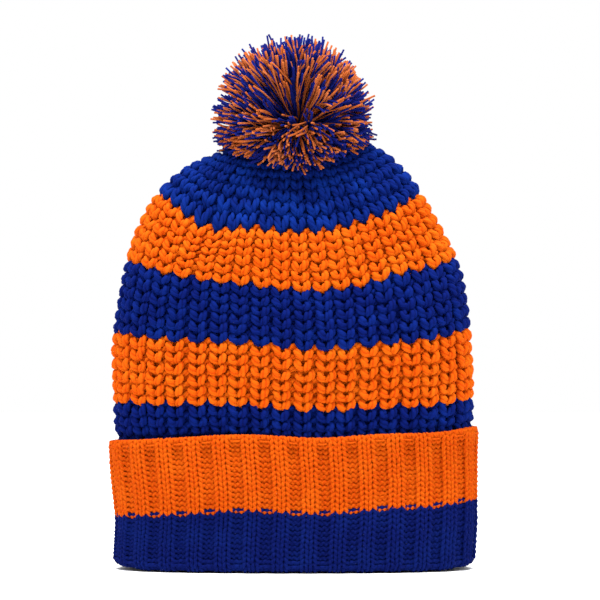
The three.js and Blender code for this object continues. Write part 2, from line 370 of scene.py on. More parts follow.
# ---------------------------------------------------------------- yarn
def round_corners(points, steps):
    """Smooth closed curves through points, which are (paths, points, 3), with a few steps to each."""
    around = [np.roll(points, shift, 1) for shift in (1, 0, -1, -2)]
    pieces = [smooth(*around, t) for t in np.arange(steps) / steps]
    return np.stack(pieces, axis=2).reshape(len(points), -1, 3)


def full_turn(steps):
    """Angles of a closed ring."""
    return np.linspace(0, 2 * math.pi, steps, endpoint=False)


def about_z(turn, radius, height):
    """Points round the Z axis."""
    return np.stack([radius * np.cos(turn), radius * np.sin(turn), height], axis=1)


def unit(v):
    return v / np.maximum(np.linalg.norm(v, axis=-1, keepdims=True), 1e-12)


def turned(v, axis, angle):
    """Each vector turned about its own unit axis, which it is square to."""
    return v * np.cos(angle)[..., None] + np.cross(axis, v) * np.sin(angle)[..., None]


class Skein:
    """Gathers tubes of yarn, then makes one mesh of them. Each tube has a yarn UV: once round it across,
    and millimetres along it upwards."""

    CAP_UV = 0.5

    def __init__(self):
        self.corners, self.loops, self.sizes, self.uvs = [], [], [], []
        self.count = 0

    def wind(self, points, radius, sides, closed, twist_mm=0.0):
        """Adds tubes along points, (paths, steps, 3) in mm. radius is one number or (paths, steps). With a
        twist, the tube is a rope of plies with four sides each, that winds once round in that length."""
        paths, steps, _ = points.shape
        radius = np.broadcast_to(np.asarray(radius, float), (paths, steps))
        if closed:
            ahead = unit(np.roll(points, -1, 1) - np.roll(points, 1, 1))
        else:
            ahead = unit(np.gradient(points, axis=1))
        side = np.empty_like(points)
        helper = np.where(np.abs(ahead[:, :1, 2:]) > 0.9, [[[1.0, 0, 0]]], [[[0, 0, 1.0]]])
        side[:, 0] = unit(np.cross(helper[:, 0], ahead[:, 0]))
        for i in range(1, steps):
            flat = side[:, i - 1] - ahead[:, i] * (side[:, i - 1] * ahead[:, i]).sum(1, keepdims=True)
            side[:, i] = unit(flat)
        if closed:
            side = self.without_twist(side, ahead)
        lift = np.cross(ahead, side)
        step = np.linalg.norm(np.roll(points, -1, 1) - points, axis=2)
        along = np.concatenate([np.zeros((paths, 1)), np.cumsum(step, axis=1)], axis=1)
        length = along[:, -1:] if closed else along[:, -2:-1]
        turns = np.zeros_like(along)
        profile = np.ones(sides)
        if twist_mm:
            whole = np.maximum(np.round(length / twist_mm), 1)
            turns = whole * along / length
            along = turns * twist_mm
            profile = np.tile(PLY_PROFILE, sides // len(PLY_PROFILE))
        around = (np.arange(sides) / sides - turns[:, :steps, None]) * 2 * math.pi
        ring = np.cos(around)[..., None] * side[:, :, None] + np.sin(around)[..., None] * lift[:, :, None]
        skin = points[:, :, None] + ring * (radius[:, :, None] * profile)[..., None]
        self.skin(skin, along, turns, closed)

    @staticmethod
    def without_twist(side, ahead):
        """Spreads the twist that is left where a closed yarn meets itself over its whole length."""
        last = side[:, -1] - ahead[:, 0] * (side[:, -1] * ahead[:, 0]).sum(1, keepdims=True)
        last = unit(last)
        lift = np.cross(ahead[:, 0], side[:, 0])
        angle = np.arctan2((last * lift).sum(1), (last * side[:, 0]).sum(1))
        share = np.arange(side.shape[1]) / side.shape[1]
        return turned(side, ahead, -angle[:, None] * share)

    def skin(self, skin, along, turns, closed):
        """Faces and yarn UVs of tubes whose rings are given, with the length and turns of yarn up to each."""
        paths, steps, sides, _ = skin.shape
        rows = steps if closed else steps - 1
        p = np.arange(paths)[:, None, None] * steps * sides
        i = np.arange(rows)[None, :, None]
        j = np.arange(sides)[None, None, :]
        here, above = p + i * sides, p + ((i + 1) % steps) * sides
        quads = np.stack([here + j, here + (j + 1) % sides, above + (j + 1) % sides, above + j], axis=-1)
        low, high = slice(0, rows), slice(1, rows + 1)
        corner = []
        for edge, row in ((j, low), (j + 1, low), (j + 1, high), (j, high)):
            across = edge / sides - turns[:, row, None]
            corner.append(np.stack(np.broadcast_arrays(across, along[:, row, None]), axis=-1))
        uv = np.stack(corner, axis=-2)
        self.corners.append(skin.reshape(-1, 3))
        self.loops.append(quads.reshape(-1) + self.count)
        self.sizes.append(np.full(quads.size // 4, 4))
        self.uvs.append(uv.reshape(-1, 2))
        if not closed:
            self.cap(np.arange(paths)[:, None] * steps * sides + np.arange(sides)[::-1])
            self.cap(np.arange(paths)[:, None] * steps * sides + (steps - 1) * sides + np.arange(sides))
        self.count += paths * steps * sides

    def cap(self, faces):
        self.loops.append(faces.reshape(-1) + self.count)
        self.sizes.append(np.full(len(faces), faces.shape[1]))
        self.uvs.append(np.full((faces.size, 2), self.CAP_UV))

    def piece(self, name, material, shape=None):
        """The mesh of all the tubes, in metres. shape bends the points first."""
        corners = np.concatenate(self.corners)
        if shape is not None:
            corners = shape(corners)
        return mesh_piece(
            name, corners * MM, np.concatenate(self.loops), np.concatenate(self.sizes),
            np.concatenate(self.uvs), material,
        )


def add_object(name, data):
    new = bpy.data.objects.new(name, data)
    bpy.context.scene.collection.objects.link(new)
    return new


def mesh_piece(name, corners, loops, sizes, uvs, material):
    """A smooth-shaded mesh from corners in metres, the corner of each loop, and the loops of each face."""
    mesh = bpy.data.meshes.new(name)
    mesh.vertices.add(len(corners))
    mesh.vertices.foreach_set("co", corners.astype(np.float32).ravel())
    mesh.loops.add(len(loops))
    mesh.loops.foreach_set("vertex_index", loops.astype(np.int32))
    mesh.polygons.add(len(sizes))
    starts = np.concatenate([[0], np.cumsum(sizes)[:-1]])
    mesh.polygons.foreach_set("loop_start", starts.astype(np.int32))
    mesh.polygons.foreach_set("use_smooth", np.ones(len(sizes), bool))
    layer = mesh.uv_layers.new(name="yarn")
    layer.data.foreach_set("uv", uvs.astype(np.float32).ravel())
    mesh.update(calc_edges=True)
    mesh.validate()
    mesh.materials.append(material)
    return add_object(name, mesh)


# ---------------------------------------------------------------- materials
def linear(hex_colour):
    """Linear colour of an sRGB hex value."""
    parts = [int(hex_colour[i:i + 2], 16) / 255 for i in (1, 3, 5)]
    return tuple(c / 12.92 if c <= 0.04045 else ((c + 0.055) / 1.055) ** 2.4 for c in parts) + (1.0,)


def new_material(name, inputs):
    """A material and its shader, with these inputs set."""
    material = bpy.data.materials.new(name)
    material.use_nodes = True
    shader = material.node_tree.nodes["Principled BSDF"]
    for socket, value in inputs.items():
        shader.inputs[socket].default_value = value
    return material, shader


def add_node(tree, kind, inputs, **settings):
    """Adds a node to a tree, each of its inputs with a value or a link, and returns its outputs."""
    new = tree.nodes.new(kind)
    for name, value in settings.items():
        setattr(new, name, value)
    for socket, value in inputs.items():
        if isinstance(value, bpy.types.NodeSocket):
            tree.links.new(value, new.inputs[socket])
        else:
            new.inputs[socket].default_value = value
    return new.outputs


FIBRE_STREAKS = (7.0, 0.35, 1.0)  # streaks across a ply, and per mm along it
DYE_CLOUD_MM = 14.0  # the dye takes a little unevenly over about a stitch
FIBRE_RELIEF_MM = 0.35  # real fibres are finer, and are drawn this coarse so that they show


def spun_acrylic(name, main, deep, bright, plies, twist_mm):
    """Plied acrylic yarn, spun from short crimped fibres: matt, with hardly a highlight and a soft sheen from
    its loose fibres. The plies wind round the yarn, and the grooves between them are painted darker with the
    deep colour as painted shade. Fine fibres streak along each ply, and the dye varies a little."""
    material, shader = new_material(name, {
        "Roughness": 0.88, "Specular IOR Level": 0.04,
        "Sheen Weight": 0.3, "Sheen Roughness": 0.45, "Sheen Tint": linear(bright),
    })
    tree = material.node_tree

    def maths(operation, *inputs):
        return add_node(tree, "ShaderNodeMath", dict(enumerate(inputs)), operation=operation)[0]

    def spread(source, low, high, new_low, new_high):
        """Takes the range from low to high to a new range."""
        inputs = {0: source, "From Min": low, "From Max": high, "To Min": new_low, "To Max": new_high}
        return add_node(tree, "ShaderNodeMapRange", inputs)[0]

    def noise(where, scale):
        return add_node(tree, "ShaderNodeTexNoise", {0: where, "Scale": scale, "Detail": 3.0})[0]

    def mixed(share, first, second):
        inputs = {0: share, "A": first, "B": second}
        return add_node(tree, "ShaderNodeMix", inputs, data_type="RGBA")["Result"]

    place = add_node(tree, "ShaderNodeUVMap", {}, uv_map="yarn")[0]
    round_it, along, _ = add_node(tree, "ShaderNodeSeparateXYZ", {0: place})
    turns = maths("MULTIPLY", round_it, plies)
    rise = maths("DIVIDE", along, twist_mm / plies)
    phase = maths("ADD", turns, rise)
    ply = maths("ABSOLUTE", maths("SINE", maths("MULTIPLY", phase, math.pi)))
    # Painted shade: the grooves between the plies are darkened towards the deep colour, standing in for the
    # shade that falls in them.
    painted_groove_shade = spread(ply, 0.0, 0.55, 0.4, 1.0)

    streak_at = add_node(tree, "ShaderNodeCombineXYZ", {0: phase, 1: along})[0]
    stretched = add_node(
        tree, "ShaderNodeVectorMath", {0: streak_at, 1: FIBRE_STREAKS}, operation="MULTIPLY"
    )[0]
    streaks = noise(stretched, 1.0)
    tone = maths("MULTIPLY", painted_groove_shade, spread(streaks, 0.3, 0.7, 0.72, 1.0))
    # The deep colour is painted shade in the ply grooves. The fibre streaks in tone are the yarn's own uneven
    # colour.
    shade = mixed(tone, linear(deep), linear(main))

    dye = noise(add_node(tree, "ShaderNodeTexCoord", {})["Object"], 1 / (DYE_CLOUD_MM * MM))
    colour = mixed(spread(dye, 0.45, 0.75, 0.0, 0.45), shade, linear(bright))
    tree.links.new(colour, shader.inputs["Base Color"])

    height = maths("MULTIPLY", tone, streaks)
    bump = add_node(
        tree, "ShaderNodeBump", {"Strength": 0.55, "Distance": FIBRE_RELIEF_MM * MM, "Height": height}
    )[0]
    tree.links.new(bump, shader.inputs["Normal"])
    return material


def painted_board():
    """White board in matt emulsion paint, for the stage: flat, with hardly a highlight."""
    look = {"Base Color": linear("#FAFAFA"), "Roughness": 0.9, "Specular IOR Level": 0.1}
    return new_material("white_board", look)[0]


# Plies of each kind of yarn, and the length in which they wind once round
CHUNKY = (3, BODY_TWIST_MM)
FINE = (2, 5.0)
CUT = (2, 3.0)
SEWING = (2, 4.0)
# Each yarn: its slot, its material's name, its colour, the darker one that is painted into its grooves as
# painted
# # shade, the lighter one of its fibre ends and paler dye, and its plies
YARNS = {
    # soft three-ply yarn, loosely spun, with broad plies that show in every loop
    "body_blue": ("body_yarn_blue", "chunky_acrylic_blue", "#031356", "#01022D", "#082677", CHUNKY),
    "body_orange": ("body_yarn_orange", "chunky_acrylic_orange", "#BC4F05", "#AD1E01", "#CB6910", CHUNKY),
    # the crown's yarn is a brighter copy of the body's blue: painted light, for the lamps above that fall on
    # the crown's upturned faces
    "crown_blue_painted_light": ("body_yarn_blue", "crown_acrylic_blue_painted_light", "#03195E", "#01032E", "#09318A", CHUNKY),
    # finer two-ply yarn with a tighter twist, which gives the band its close, even face
    "band_blue": ("band_yarn_blue", "fine_acrylic_blue", "#051250", "#01022B", "#081D5F", FINE),
    "band_orange": ("band_yarn_orange", "fine_acrylic_orange", "#B54A04", "#A41B01", "#C2590A", FINE),
    # fine yarn cut open into strands, paler and duller at the frayed ends
    "pom_blue": ("pom_yarn_blue", "pom_acrylic_blue", "#0E165F", "#0A072B", "#142885", CUT),
    "pom_orange": ("pom_yarn_orange", "pom_acrylic_orange", "#A65627", "#892C0D", "#BF744B", CUT),
    # firm yarn that sews and ties
    "tie": ("tie_yarn", "tie_acrylic_blue", "#08124C", "#030628", "#101F69", SEWING),
}
YARN = {kind: spun_acrylic(*look, *plies) for kind, (_, *look, plies) in YARNS.items()}


def fit(piece, body, node):
    """Puts a finished piece on its body, in place of its frame node, which it hides."""
    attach(piece, body)
    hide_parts(node)


# ---------------------------------------------------------------- chunky body
def mirrored(arm, head):
    """The whole loop from its left arm and its head."""
    left = np.array(arm)
    right = left[::-1] * (-1, 1, 1)
    return np.vstack([left, [head], right])


def body_stitch():
    """One repeat of the chunky rib: a knit loop in front, and the purl loop behind the next recess."""
    front = mirrored(FRONT_ARM, FRONT_HEAD)
    back = mirrored(BACK_ARM, BACK_HEAD)
    back[:, 1] += BACK_LEAN * back[:, 0]
    back[:, 0] += 0.5
    return np.vstack([front, back])


def under_band(course):
    """How far the turned-up band presses the body's first courses in, in mm."""
    return PRESSED_IN_MM * np.clip((PRESSED_COURSES - course) / PRESSED_FADE_COURSES, 0, 1)


LOOP_STANDS = 0.4  # the part of a loop above this, in courses, is free to be higher or lower
LOOP_HALF_WIDTH = 0.35
GATHER_RANGE = (0.35, 1.1)  # how far a column can be drawn together or spread, as shares of its width
GATHER_TILT = 0.25  # drawn-together loops tip back by this, in mm to a course
GATHER_THINNING = 0.35
STEPS_PER_POINT = 2
column_drift = COLUMN_DRIFT * rng.normal(0, 1, (BODY_COLUMNS, 1))


def body_course(surface, course):
    """Closed path of the yarn of one course, and its radius at each point."""
    stitch = body_stitch()
    column = np.arange(BODY_COLUMNS)[:, None] + 0.5 + column_drift
    width, place, height, lean = rng.normal(0, 1, (4, BODY_COLUMNS, 1))
    across = column + stitch[:, 0] * (1 + LOOP_WIDTH_SPREAD * width) + LOOP_PLACE_SPREAD * place
    up = course + stitch[:, 1] + LOOP_HEIGHT_SPREAD * height * (stitch[:, 1] > LOOP_STANDS)
    in_front = np.abs(stitch[:, 0]) < LOOP_HALF_WIDTH
    up = up + LOOP_LEAN_SPREAD * lean * np.where(in_front, stitch[:, 0], 0)
    column_width = surface.width(min(course + 1, surface.places[-1])) / BODY_COLUMNS
    gather = np.clip(column_width / COLUMN_WIDTH_MM, *GATHER_RANGE)
    out = stitch[:, 2] - GATHER_TILT * (1 - gather) * stitch[:, 1] - under_band(up)
    places = surface.at(across / BODY_COLUMNS, up, out)
    places += rng.normal(0, YARN_WANDER_MM, places.shape)
    path = round_corners(places.reshape(1, -1, 3), STEPS_PER_POINT)
    swell = np.tile(FRONT_SWELL + FRONT_SWELL[-2::-1] + BACK_SWELL + BACK_SWELL[-2::-1], BODY_COLUMNS)
    between = (swell + np.roll(swell, -1)) / 2
    fat = BODY_YARN_MM * gather**GATHER_THINNING
    return path, fat * np.stack([swell, between], axis=1).reshape(1, -1)


# Each stripe is knitted as pieces of a few courses: the first, the one after the last, and what they add
# to the stripe's name. The shorter stripes have only the first two.
KNIT_PARTS = [(0, 3, "_low"), (3, 6, ""), (6, 8, "_high"), (8, 11, "_top")]


def knit_body(surface):
    start = 0
    for name, _, _, courses, node, yarn in STRIPES:
        for first, last, suffix in KNIT_PARTS:
            if last > courses:
                continue
            skein = Skein()
            for course in range(start + first, start + last):
                path, radius = body_course(surface, course)
                skein.wind(path, radius, BODY_SIDES, True, BODY_TWIST_MM)
            piece = skein.piece(f"{name}_knit{suffix}", YARN[yarn], hand_softened)
            fit(piece, "hat", node)
        start += courses


# ---------------------------------------------------------------- fine rib band
def rib_layout():
    """Centre, width and side (1 knit, -1 purl) of each wale in a repeat, as shares of it."""
    knit = RIB_KNIT_SHARE / 2
    purl = (1 - RIB_KNIT_SHARE) / 2
    widths = np.array([purl, knit, knit, purl])
    centres = np.cumsum(widths) - widths / 2
    return centres, widths, np.array([-1, 1, 1, -1])


def rib_relief(share):
    """How far the band's face lies behind its knit ribs at a share round the hat, in mm."""
    repeat = np.mod(share * RIB_REPEATS, 1.0)
    from_middle = np.abs(repeat - 0.5) / 0.5
    return RIB_RELIEF_MM * eased((from_middle - RIB_KNIT_SHARE + RIB_SLOPE / 2) / RIB_SLOPE)


# One fine stitch, as (across in wales, up in rows, depth in mm). It starts at its wale's edge, and the
# point at its other edge is left to the next wale.
RIB_LOOP = mirrored(
    [(-0.5, 0.0, -0.6), (-0.15, 0.05, -0.6), (-0.18, 0.4, 0.15), (-0.31, 0.82, 0.62), (-0.36, 1.18, 0.15)],
    (0.0, 1.45, -0.9),
)[:-1]


def rib_course(surface, place, relief):
    """Closed path of the yarn of one row. relief is the share of the full rib that shows in it."""
    centres, widths, sides = rib_layout()
    repeat = np.arange(RIB_REPEATS)[:, None, None]
    height, drift = rng.normal(0, 1, (2, RIB_REPEATS, RIB_WALES, 1))
    up = place + (RIB_LOOP[:, 1] + LOOP_HEIGHT_SPREAD * height) * RIB_ROW_MM
    up = np.clip(up, 0, surface.places[-1])
    across = (repeat + centres[:, None] + widths[:, None] * RIB_LOOP[:, 0]) / RIB_REPEATS
    across = across + RIB_PLACE_SPREAD * drift
    facing = 1 + (sides[:, None] - 1) * min(1.0, relief * 2)
    out = RIB_LOOP[:, 2] * facing - rib_relief(across) * relief
    places = surface.at(across, np.broadcast_to(up, across.shape), out)
    places += rng.normal(0, RIB_WANDER_MM, places.shape)
    return places.reshape(1, -1, 3)


EDGE_ROWS = (1.2, 3.7)  # the rib starts after the first of these rows and is full from the second


def knit_band(surface):
    """The band from its cast-on edge to the linking seam, in rows that run down, under and up inside."""
    rows = int((surface.places[-1] - 2) / RIB_ROW_MM)
    orange_rows = round(colour_change_place() / RIB_ROW_MM)
    fold_row = int(fold_place() / RIB_ROW_MM)
    groups = [
        ("cast_on_edge_knit", "orange", 0, 5, "cuff_cast_on_edge"),
        ("cuff_orange_knit_high", "orange", 5, 11, "cuff_band_orange"),
        ("cuff_orange_knit", "orange", 11, orange_rows, "cuff_band_orange"),
        ("cuff_blue_knit", "blue", orange_rows, fold_row - 1, "cuff_band_blue"),
        ("cuff_fold_knit", "blue", fold_row - 1, fold_row + 3, "cuff_fold_blue"),
        ("inner_band_knit_low", "blue", fold_row + 3, fold_row + 11, "inner_band_blue"),
        ("inner_band_knit_high", "blue", fold_row + 11, rows, "inner_band_blue"),
    ]
    for name, colour, first, last, node in groups:
        skein = Skein()
        for row in range(first, last):
            relief = float(np.interp(row, (*EDGE_ROWS, fold_row - 3, fold_row), (0, 1, 1, INNER_RELIEF)))
            path = rib_course(surface, row * RIB_ROW_MM, relief)
            skein.wind(path, RIB_YARN_MM, RIB_SIDES, True)
        piece = skein.piece(name, YARN[f"band_{colour}"], hand_softened)
        fit(piece, "hat", node)


# ---------------------------------------------------------------- the cloth between the loops
GROUND_THICK_MM = 0.6
GROUND_DEPTH_MM = 5.2  # behind the outer face of the chunky knit
RIB_GROUND_MM = 0.7  # behind the middle of the fine rib
RIB_GROUND_RELIEF = 0.85  # it follows the rib by this share
GROUND_YARN_MM = 3.0  # width of one yarn of the ground
GROUND_STEPS = 320


def sheet_round(name, surface, first, last, rows, depth, yarn, node):
    """A thin closed tube of plain knit ground, so that no daylight shows between the loops. depth gives how
    far it lies behind the surface, at a share round it and a place up it."""
    share = np.arange(GROUND_STEPS) / GROUND_STEPS
    places = np.linspace(first, last, rows)
    levels = np.concatenate([places, places[::-1]])
    behind = np.concatenate([np.zeros(rows), np.full(rows, GROUND_THICK_MM)])
    grid = surface.at(
        np.broadcast_to(share, (len(levels), GROUND_STEPS)),
        np.broadcast_to(levels[:, None], (len(levels), GROUND_STEPS)),
        -(depth(share, levels[:, None]) + behind[:, None]),
    )
    i = np.arange(len(levels))[:, None] * GROUND_STEPS
    j = np.arange(GROUND_STEPS)[None]
    up = np.roll(i, -1, 0)
    right = (j + 1) % GROUND_STEPS
    quads = np.stack([i + j, i + right, up + right, up + j], axis=-1)
    width = surface.width((first + last) / 2)
    along = np.concatenate([[0], np.cumsum(np.linalg.norm(np.diff(grid[:, 0], axis=0), axis=1))])
    around = np.stack([j, j + 1, j + 1, j], axis=-1) / GROUND_STEPS * width / GROUND_YARN_MM
    high = np.append(along[1:], along[-1] + GROUND_THICK_MM)
    rise = np.stack([along, along, high, high], axis=-1)[:, None]
    uv = np.stack(np.broadcast_arrays(around, rise), axis=-1)
    piece = mesh_piece(
        name, hand_softened(grid.reshape(-1, 3)) * MM, quads.reshape(-1),
        np.full(quads.size // 4, 4), uv.reshape(-1, 2), YARN[yarn],
    )
    fit(piece, "hat", node)


def behind_body(share, course):
    return GROUND_DEPTH_MM + under_band(course)


def behind_rib(share, place):
    return RIB_GROUND_MM + RIB_GROUND_RELIEF * rib_relief(share)


def behind_inner_band(share, place):
    return RIB_GROUND_MM


def make_grounds(body, band):
    start = 0
    for name, _, _, courses, node, yarn in STRIPES:
        end = start + courses
        # the crown's last course is gathered, and the others reach under the next stripe
        last = end - 1.2 if yarn == "crown_blue_painted_light" else end + 0.35
        sheet_round(f"{name}_ground", body, start + 0.4, last, 3 * courses, behind_body, yarn, node)
        start = end
    change, turn, top = colour_change_place(), fold_place(), band.places[-1]
    # name, first and last place along the band, rows, depth, yarn and frame node
    grounds = [
        ("band_ground_orange", 1.0, change + 1.5, 30, behind_rib, "band_orange", "cuff_band_orange"),
        ("band_ground_blue", change + 2.0, turn - 4.0, 24, behind_rib, "band_blue", "cuff_band_blue"),
        ("inner_band_ground", turn + 5.0, top - 1.0, 40, behind_inner_band, "band_blue", "inner_band_blue"),
    ]
    for name, first, last, rows, depth, yarn, node in grounds:
        sheet_round(name, band, first, last, rows, depth, yarn, node)


# ---------------------------------------------------------------- seams and gather
SEAM_YARN_MM = 0.75  # radius
SEAM_HALF_WIDTH_MM = 3.6
SEAM_OVER_MM = 1.3  # how far a seam's stitch goes over and under its edge
BODY_SEAM_STITCHES = 72
BODY_SEAM_DEPTH_MM = 8.6  # behind the outer face
BAND_SEAM_STITCHES = 27
BAND_SEAM_MM = 56.0
BAND_SEAM_YARN_MM = 0.7
BAND_SEAM_IN_MM = 3.2  # how far inside the back it lies
LINKING_LOOPS = 120
LINKING_YARN_MM = 0.8
LINKING_HIGH_MM = 1.1
LINKING_DEEP_MM = 1.2
STEPS_PER_LOOP = 8
THIN_SIDES = 6
TIE_SIDES = 8


def box_middle_mm(node):
    low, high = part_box(node)
    return np.array((low + high) / 2) / MM


def sewn(skein, name, body, node, shape=None):
    """Finishes a piece of sewing or tying yarn."""
    fit(skein.piece(name, YARN["tie"], shape), body, node)


def overcast(surface, first, last, stitches, half_width, depth):
    """Overcast seam at the back: a yarn that goes over and over an edge."""
    turn = np.linspace(0, stitches * 2 * math.pi, stitches * STEPS_PER_LOOP)
    places = np.linspace(first, last, len(turn))
    across = half_width * np.cos(turn) / surface.width((first + last) / 2)
    out = -(depth + SEAM_OVER_MM * np.sin(turn))
    return surface.at(across, places, out)[None]


def make_body_seam(body):
    skein = Skein()
    top = body.places[-1] - 3
    for shift, side in ((0.0, 1.0), (0.35, -1.0)):
        path = overcast(
            body, 0.2 + shift, top + shift, BODY_SEAM_STITCHES, SEAM_HALF_WIDTH_MM * side, BODY_SEAM_DEPTH_MM
        )
        skein.wind(path, SEAM_YARN_MM, THIN_SIDES, False)
    sewn(skein, "back_seam_body_yarn", "hat", "back_seam_body", hand_softened)


def make_band_seam(band):
    skein = Skein()
    top = band.places[-1]
    for shift, side in ((0.0, 1.0), (0.8, -1.0)):
        path = overcast(
            band, top - BAND_SEAM_MM + shift, top - 1.5 + shift, BAND_SEAM_STITCHES,
            SEAM_HALF_WIDTH_MM * side, 0.0,
        )
        path[..., 1] -= BAND_SEAM_IN_MM
        skein.wind(path, BAND_SEAM_YARN_MM, THIN_SIDES, False)
    sewn(skein, "back_seam_band_yarn", "hat", "back_seam_band", hand_softened)


def make_linking(band):
    """The yarn that loops the band's last row onto the body's first course."""
    skein = Skein()
    share = np.linspace(0, 1, LINKING_LOOPS * STEPS_PER_LOOP, endpoint=False)
    turn = share * LINKING_LOOPS * 2 * math.pi
    height = band.places[-1] - 1.0 + LINKING_HIGH_MM * np.sin(turn)
    path = band.at(share, height, LINKING_DEEP_MM * np.cos(turn))[None]
    skein.wind(path, LINKING_YARN_MM, THIN_SIDES, True)
    sewn(skein, "band_linking_yarn", "hat", "band_linking_seam", hand_softened)


GATHER_YARN_MM = 0.85
GATHER_WAVES = 12
GATHER_HALF_RISE_MM = 0.8
GATHER_WAVE_MM = (0.7, 0.6)  # outwards and upwards
GATHER_INSET_MM = 1.2


def make_gather():
    """Two turns of yarn drawn up round the hole of the crown, waving in and out of the last course."""
    middle = box_middle_mm("crown_gather_yarn")
    low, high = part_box("crown_gather_yarn")
    radius = (high.x - low.x) / 2 / MM - GATHER_INSET_MM
    out, up = GATHER_WAVE_MM
    turn = full_turn(GATHER_WAVES * STEPS_PER_LOOP)
    skein = Skein()
    for layer in (-GATHER_HALF_RISE_MM, GATHER_HALF_RISE_MM):
        wave = radius + out * np.cos(GATHER_WAVES * turn + layer * 2)
        path = about_z(turn, wave, layer + up * np.sin(GATHER_WAVES * turn)) + middle
        skein.wind(path[None], GATHER_YARN_MM, TIE_SIDES, True)
    sewn(skein, "crown_gather_turns", "hat", "crown_gather_yarn")


# ---------------------------------------------------------------- tie
POM_MIDDLE_MM = box_middle_mm("pom_core")
TIE_MM = POM_MIDDLE_MM + (2.5, -1.0, -11.0)  # where the strands are bound
KNOT_MM = 1.15  # size of the trefoil knot, whose loops reach three times as far
KNOT_FLATNESS = 1.1  # its rise, in the same measure
KNOT_STEPS = 72
KNOT_YARN_MM = 1.1
NECK_YARN_MM = 1.0
NECK_TURN_PER_MM = 0.55
NECK_STEPS = 32
BINDING_TURNS = 5
BINDING_STEPS = 40
BINDING_RADIUS_MM = 4.2
BINDING_PITCH_MM = 0.9
BINDING_TILT_MM = 0.28
CORE_STRANDS = 26
CORE_STEPS = 24
CORE_RADIUS_MM = (2.2, 3.6)
BOUND_YARN_MM = 0.8


def make_knot():
    """The knot that holds the tie inside the crown."""
    turn = full_turn(KNOT_STEPS)
    across = np.sin(turn) + 2 * np.sin(2 * turn)
    away = np.cos(turn) - 2 * np.cos(2 * turn)
    trefoil = np.stack([across, away, -KNOT_FLATNESS * np.sin(3 * turn)], axis=1)
    skein = Skein()
    skein.wind((trefoil * KNOT_MM + box_middle_mm("pom_tie_knot"))[None], KNOT_YARN_MM, TIE_SIDES, True)
    sewn(skein, "pom_tie_knot_yarn", "tie_knot", "pom_tie_knot")


def make_neck():
    """Two yarns twisted round each other, from the knot through the crown and up to the binding."""
    low = box_middle_mm("pom_tie_knot")[2]
    height = np.linspace(low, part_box("pom_tie_neck")[1].z / MM, NECK_STEPS)
    skein = Skein()
    for start in (0.0, math.pi):
        turn = start + (height - low) * NECK_TURN_PER_MM
        skein.wind(about_z(turn, NECK_YARN_MM, height)[None], NECK_YARN_MM, TIE_SIDES, False)
    sewn(skein, "pom_tie_neck_yarn", "tie_neck", "pom_tie_neck")


def make_binding():
    """The turns of yarn that pinch the strands, each a little more tilted than the one below."""
    turn = full_turn(BINDING_STEPS)
    skein = Skein()
    for i in range(BINDING_TURNS):
        layer = i - BINDING_TURNS // 2
        height = layer * BINDING_PITCH_MM + layer * BINDING_TILT_MM * np.sin(turn)
        ring = about_z(turn, BINDING_RADIUS_MM, height) + TIE_MM
        skein.wind(ring[None], BOUND_YARN_MM, TIE_SIDES, True)
    sewn(skein, "pom_binding_turns", "pom", "pom_binding")


def make_core():
    """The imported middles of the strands, as rings of yarn that lie every way."""
    way = rng.normal(0, 1, (CORE_STRANDS, 2, 3))
    first, second = unit(way[:, 0]), unit(np.cross(way[:, 0], way[:, 1]))
    turn = full_turn(CORE_STEPS)[None, :, None]
    radius = rng.uniform(*CORE_RADIUS_MM, (CORE_STRANDS, 1, 1))
    rings = (first[:, None] * np.cos(turn) + second[:, None] * np.sin(turn)) * radius
    skein = Skein()
    skein.wind(rings + TIE_MM, BOUND_YARN_MM, THIN_SIDES, True)
    sewn(skein, "pom_core_strands", "pom", "pom_core")


# ---------------------------------------------------------------- pom pom
POM_RADIUS_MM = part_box("pom_lock_top_1_orange")[1].z / MM - POM_MIDDLE_MM[2]
STRAND_MM = 0.56  # radius of one cut strand
STRAND_SIDES = 5
STRAND_TAPER = (0.85, 1.08)  # pinched at the tie and frayed at the cut end
STRAND_POINTS = 8
LOCKS = 760
STRANDS_IN_LOCK = 5
LOCK_SCATTER = 0.075
STRAND_SCATTER = 0.05
ORANGE_SHARE = 0.48
STRAY_SHARE = 0.2  # strands that lie in a lock of the other colour
SHORT_LOCKS = 0.3  # share of the locks that were cut short
SHORT_LENGTHS = (0.68, 0.94)
TRIM_MM = (-2.4, 1.7)  # the scissors' cut: its mean from the frame's ball, and its spread
FLAT_SIDE = 0.08  # the ball is trimmed flatter by this share
FLAT_SIDE_WAY = (0.25, 0.0, 0.97)  # on this side
ROOT_MM = 2.0  # strands start this far from the middle of the tie
ROOT_SCATTER_MM = 1.3
LOCK_BEND_MM = 3.6
STRAND_BEND_MM = 1.5
BEND_SHAPE = 2.2
WAVE_MM = 0.35
DROOP_MM = 1.6
CROWN_FALL_DEG = (12.0, 26.0)  # how the crown falls away at its sides, and how much more at its front
LIFTED_DEG = 10.0
LOST_BELOW_DEG = -62.0  # strands that point lower than this are held inside
PARTING_WAY = (0.05, -0.92, 0.38)
PARTING_DEG = 8.0  # nothing is left in its middle
PARTING_FADE_DEG = 30.0
LOW_LOCKS = 0.12  # locks lower than this stay, mostly, below the parting
LOW_LOCKS_KEPT = 0.62


def even_directions(count):
    """Directions spread evenly over a ball."""
    i = np.arange(count) + 0.5
    z = 1 - 2 * i / count
    turn = i * math.pi * (3 - math.sqrt(5))
    return about_z(turn, np.sqrt(1 - z * z), z)


def crown_slope(facing):
    """How many degrees the crown falls away from the pom, towards its sides (0) or its front and back (1)."""
    at_sides, more_in_front = CROWN_FALL_DEG
    return at_sides + more_in_front * facing**2


